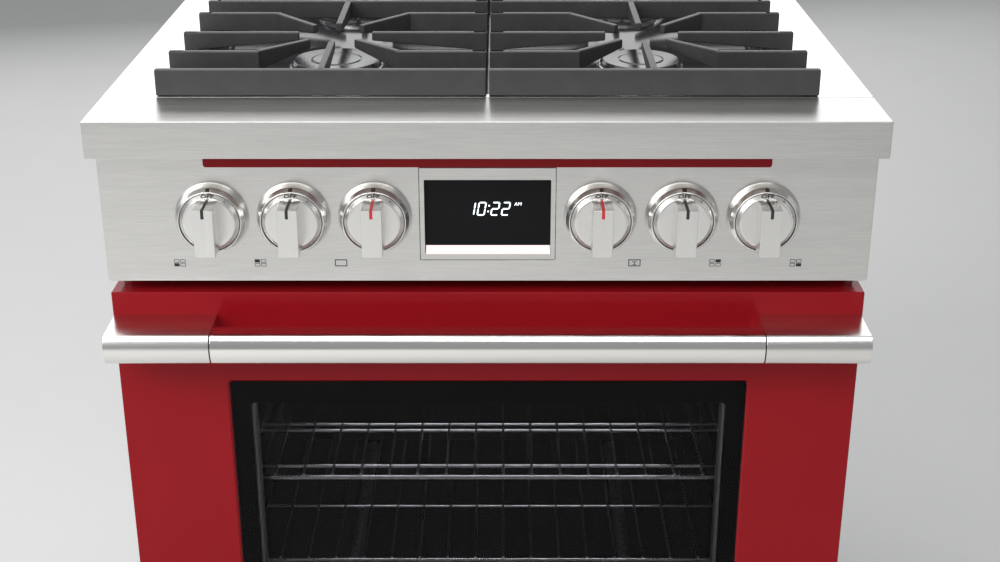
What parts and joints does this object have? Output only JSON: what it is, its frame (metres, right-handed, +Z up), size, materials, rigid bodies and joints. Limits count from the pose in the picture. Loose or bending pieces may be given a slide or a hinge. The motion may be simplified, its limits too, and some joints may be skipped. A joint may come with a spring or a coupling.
{
  "type": "freestanding gas range",
  "caption": "Freestanding gas range: red oven door with a steel bar handle, brushed steel control panel with knobs and a clock, and cast iron grates over sunk burners.",
  "frame": {"origin": "on the floor, under the middle of the range's own box, handle included", "axes": "+Z up, -Y towards the person who cooks, +X to their right"},
  "size_m": [0.759, 0.733, 0.942],
  "materials": {
    "black_enamel": "gloss black enamel",
    "black_glass": "black display glass",
    "brass": "turned brass",
    "brushed_steel": "horizontally brushed stainless steel",
    "cast_iron": "matt black cast iron",
    "chrome_wire": "bright plated wire",
    "galvanised": "dull galvanised steel",
    "gas_aluminium": "machined aluminium",
    "oven_enamel": "dark speckled oven enamel",
    "polished_steel": "polished stainless steel",
    "red_enamel": "glossy deep red enamel",
    "seal_fibre": "woven fibre seal",
    "window_glass": "dark tinted window glass"
  },
  "bodies": {
    "range_body": {"accent_strip": "red_enamel", "back_panel": "galvanised", "back_trim": "brushed_steel", "bake_burner": "galvanised", "base_frame": "galvanised", "broil_burner": "galvanised", "burner_cap_front_left": "black_enamel", "burner_cap_front_right": "black_enamel", "burner_cap_rear_left": "black_enamel", "burner_cap_rear_right": "black_enamel", "burner_head_front_left": "gas_aluminium", "burner_head_front_right": "gas_aluminium", "burner_head_rear_left": "gas_aluminium", "burner_head_rear_right": "gas_aluminium", "control_panel": "brushed_steel", "cooktop_pan": "brushed_steel", "display_bezel": "brushed_steel", "display_glass": "black_glass", "door_hinge_left": "galvanised", "door_hinge_right": "galvanised", "fan_cover": "oven_enamel", "front_rail": "brushed_steel", "gas_manifold": "gas_aluminium", "kick_panel": "brushed_steel", "knob_bezel_front_left": "polished_steel", "knob_bezel_front_right": "polished_steel", "knob_bezel_oven_mode": "polished_steel", "knob_bezel_oven_temperature": "polished_steel", "knob_bezel_rear_left": "polished_steel", "knob_bezel_rear_right": "polished_steel", "oven_cavity": "oven_enamel", "side_panel_left": "galvanised", "side_panel_right": "galvanised"},
    "oven_door": {"door_panel": "red_enamel", "door_liner": "polished_steel", "door_glass": "window_glass", "door_gasket": "seal_fibre", "handle_bar": "polished_steel", "handle_bracket_left": "polished_steel", "handle_bracket_right": "polished_steel"},
    "grate_left": {"grate_left": "cast_iron"},
    "grate_right": {"grate_right": "cast_iron"},
    "oven_rack_upper": {"oven_rack_upper": "chrome_wire"},
    "oven_rack_lower": {"oven_rack_lower": "chrome_wire"},
    "convection_fan": {"convection_fan": "gas_aluminium"},
    "stem_front_left": {"valve_stem_front_left": "brass"},
    "knob_front_left": {"knob_front_left": "brushed_steel"},
    "stem_rear_left": {"valve_stem_rear_left": "brass"},
    "knob_rear_left": {"knob_rear_left": "brushed_steel"},
    "stem_oven_temperature": {"valve_stem_oven_temperature": "brass"},
    "knob_oven_temperature": {"knob_oven_temperature": "brushed_steel"},
    "knob_oven_mode": {"knob_oven_mode": "brushed_steel"},
    "stem_rear_right": {"valve_stem_rear_right": "brass"},
    "knob_rear_right": {"knob_rear_right": "brushed_steel"},
    "stem_front_right": {"valve_stem_front_right": "brass"},
    "knob_front_right": {"knob_front_right": "brushed_steel"},
    "leg_front_left": {"leg_front_left": "brushed_steel"},
    "leg_front_right": {"leg_front_right": "brushed_steel"},
    "leg_rear_left": {"leg_rear_left": "brushed_steel"},
    "leg_rear_right": {"leg_rear_right": "brushed_steel"}
  },
  "joints": [
    {"name": "door_hinge", "type": "hinge", "parent": "range_body", "child": "oven_door", "pos_m": [0, -0.2905, 0.205], "axis": [1, 0, 0], "range_deg": [0, 90], "stiffness_Nm_per_rad": 30, "springref_deg": -8.59},
    {"name": "grate_left_lift", "type": "slide", "parent": "range_body", "child": "grate_left", "axis": [0, 0, 1], "range_m": [0, 0.12]},
    {"name": "grate_right_lift", "type": "slide", "parent": "range_body", "child": "grate_right", "axis": [0, 0, 1], "range_m": [0, 0.12]},
    {"name": "upper_rack_slide", "type": "slide", "parent": "range_body", "child": "oven_rack_upper", "axis": [0, -1, 0], "range_m": [0, 0.3]},
    {"name": "lower_rack_slide", "type": "slide", "parent": "range_body", "child": "oven_rack_lower", "axis": [0, -1, 0], "range_m": [0, 0.3]},
    {"name": "fan_spin", "type": "hinge", "parent": "range_body", "child": "convection_fan", "pos_m": [0, 0.2338, 0.4904], "axis": [0, 1, 0], "continuous": true},
    {"name": "knob_front_left_push", "type": "slide", "parent": "range_body", "child": "stem_front_left", "axis": [0, 1, 0], "range_m": [0, 0.003], "stiffness_N_per_m": 800, "springref_m": -0.001},
    {"name": "knob_front_left_turn", "type": "hinge", "parent": "stem_front_left", "child": "knob_front_left", "pos_m": [-0.2712, -0.311, 0.8053], "axis": [0, -1, 0], "range_deg": [0, 240]},
    {"name": "knob_rear_left_push", "type": "slide", "parent": "range_body", "child": "stem_rear_left", "axis": [0, 1, 0], "range_m": [0, 0.003], "stiffness_N_per_m": 800, "springref_m": -0.001},
    {"name": "knob_rear_left_turn", "type": "hinge", "parent": "stem_rear_left", "child": "knob_rear_left", "pos_m": [-0.1909, -0.311, 0.8053], "axis": [0, -1, 0], "range_deg": [0, 240]},
    {"name": "knob_oven_temperature_push", "type": "slide", "parent": "range_body", "child": "stem_oven_temperature", "axis": [0, 1, 0], "range_m": [0, 0.003], "stiffness_N_per_m": 800, "springref_m": -0.001},
    {"name": "knob_oven_temperature_turn", "type": "hinge", "parent": "stem_oven_temperature", "child": "knob_oven_temperature", "pos_m": [-0.1106, -0.311, 0.8053], "axis": [0, -1, 0], "range_deg": [0, 300]},
    {"name": "knob_oven_mode_turn", "type": "hinge", "parent": "range_body", "child": "knob_oven_mode", "pos_m": [0.1106, -0.311, 0.8053], "axis": [0, 1, 0], "range_deg": [0, 270]},
    {"name": "knob_rear_right_push", "type": "slide", "parent": "range_body", "child": "stem_rear_right", "axis": [0, 1, 0], "range_m": [0, 0.003], "stiffness_N_per_m": 800, "springref_m": -0.001},
    {"name": "knob_rear_right_turn", "type": "hinge", "parent": "stem_rear_right", "child": "knob_rear_right", "pos_m": [0.1909, -0.311, 0.8053], "axis": [0, -1, 0], "range_deg": [0, 240]},
    {"name": "knob_front_right_push", "type": "slide", "parent": "range_body", "child": "stem_front_right", "axis": [0, 1, 0], "range_m": [0, 0.003], "stiffness_N_per_m": 800, "springref_m": -0.001},
    {"name": "knob_front_right_turn", "type": "hinge", "parent": "stem_front_right", "child": "knob_front_right", "pos_m": [0.2712, -0.311, 0.8053], "axis": [0, -1, 0], "range_deg": [0, 240]},
    {"name": "leg_front_left_level", "type": "slide", "parent": "range_body", "child": "leg_front_left", "axis": [0, 0, -1], "range_m": [0, 0.015]},
    {"name": "leg_front_right_level", "type": "slide", "parent": "range_body", "child": "leg_front_right", "axis": [0, 0, -1], "range_m": [0, 0.015]},
    {"name": "leg_rear_left_level", "type": "slide", "parent": "range_body", "child": "leg_rear_left", "axis": [0, 0, -1], "range_m": [0, 0.015]},
    {"name": "leg_rear_right_level", "type": "slide", "parent": "range_body", "child": "leg_rear_right", "axis": [0, 0, -1], "range_m": [0, 0.015]}
  ],
  "couplings": [
    {"joint": "upper_rack_slide", "follows": "door_hinge", "m_per_rad": 0.17825},
    {"joint": "lower_rack_slide", "follows": "door_hinge", "m_per_rad": 0.17825}
  ]
}
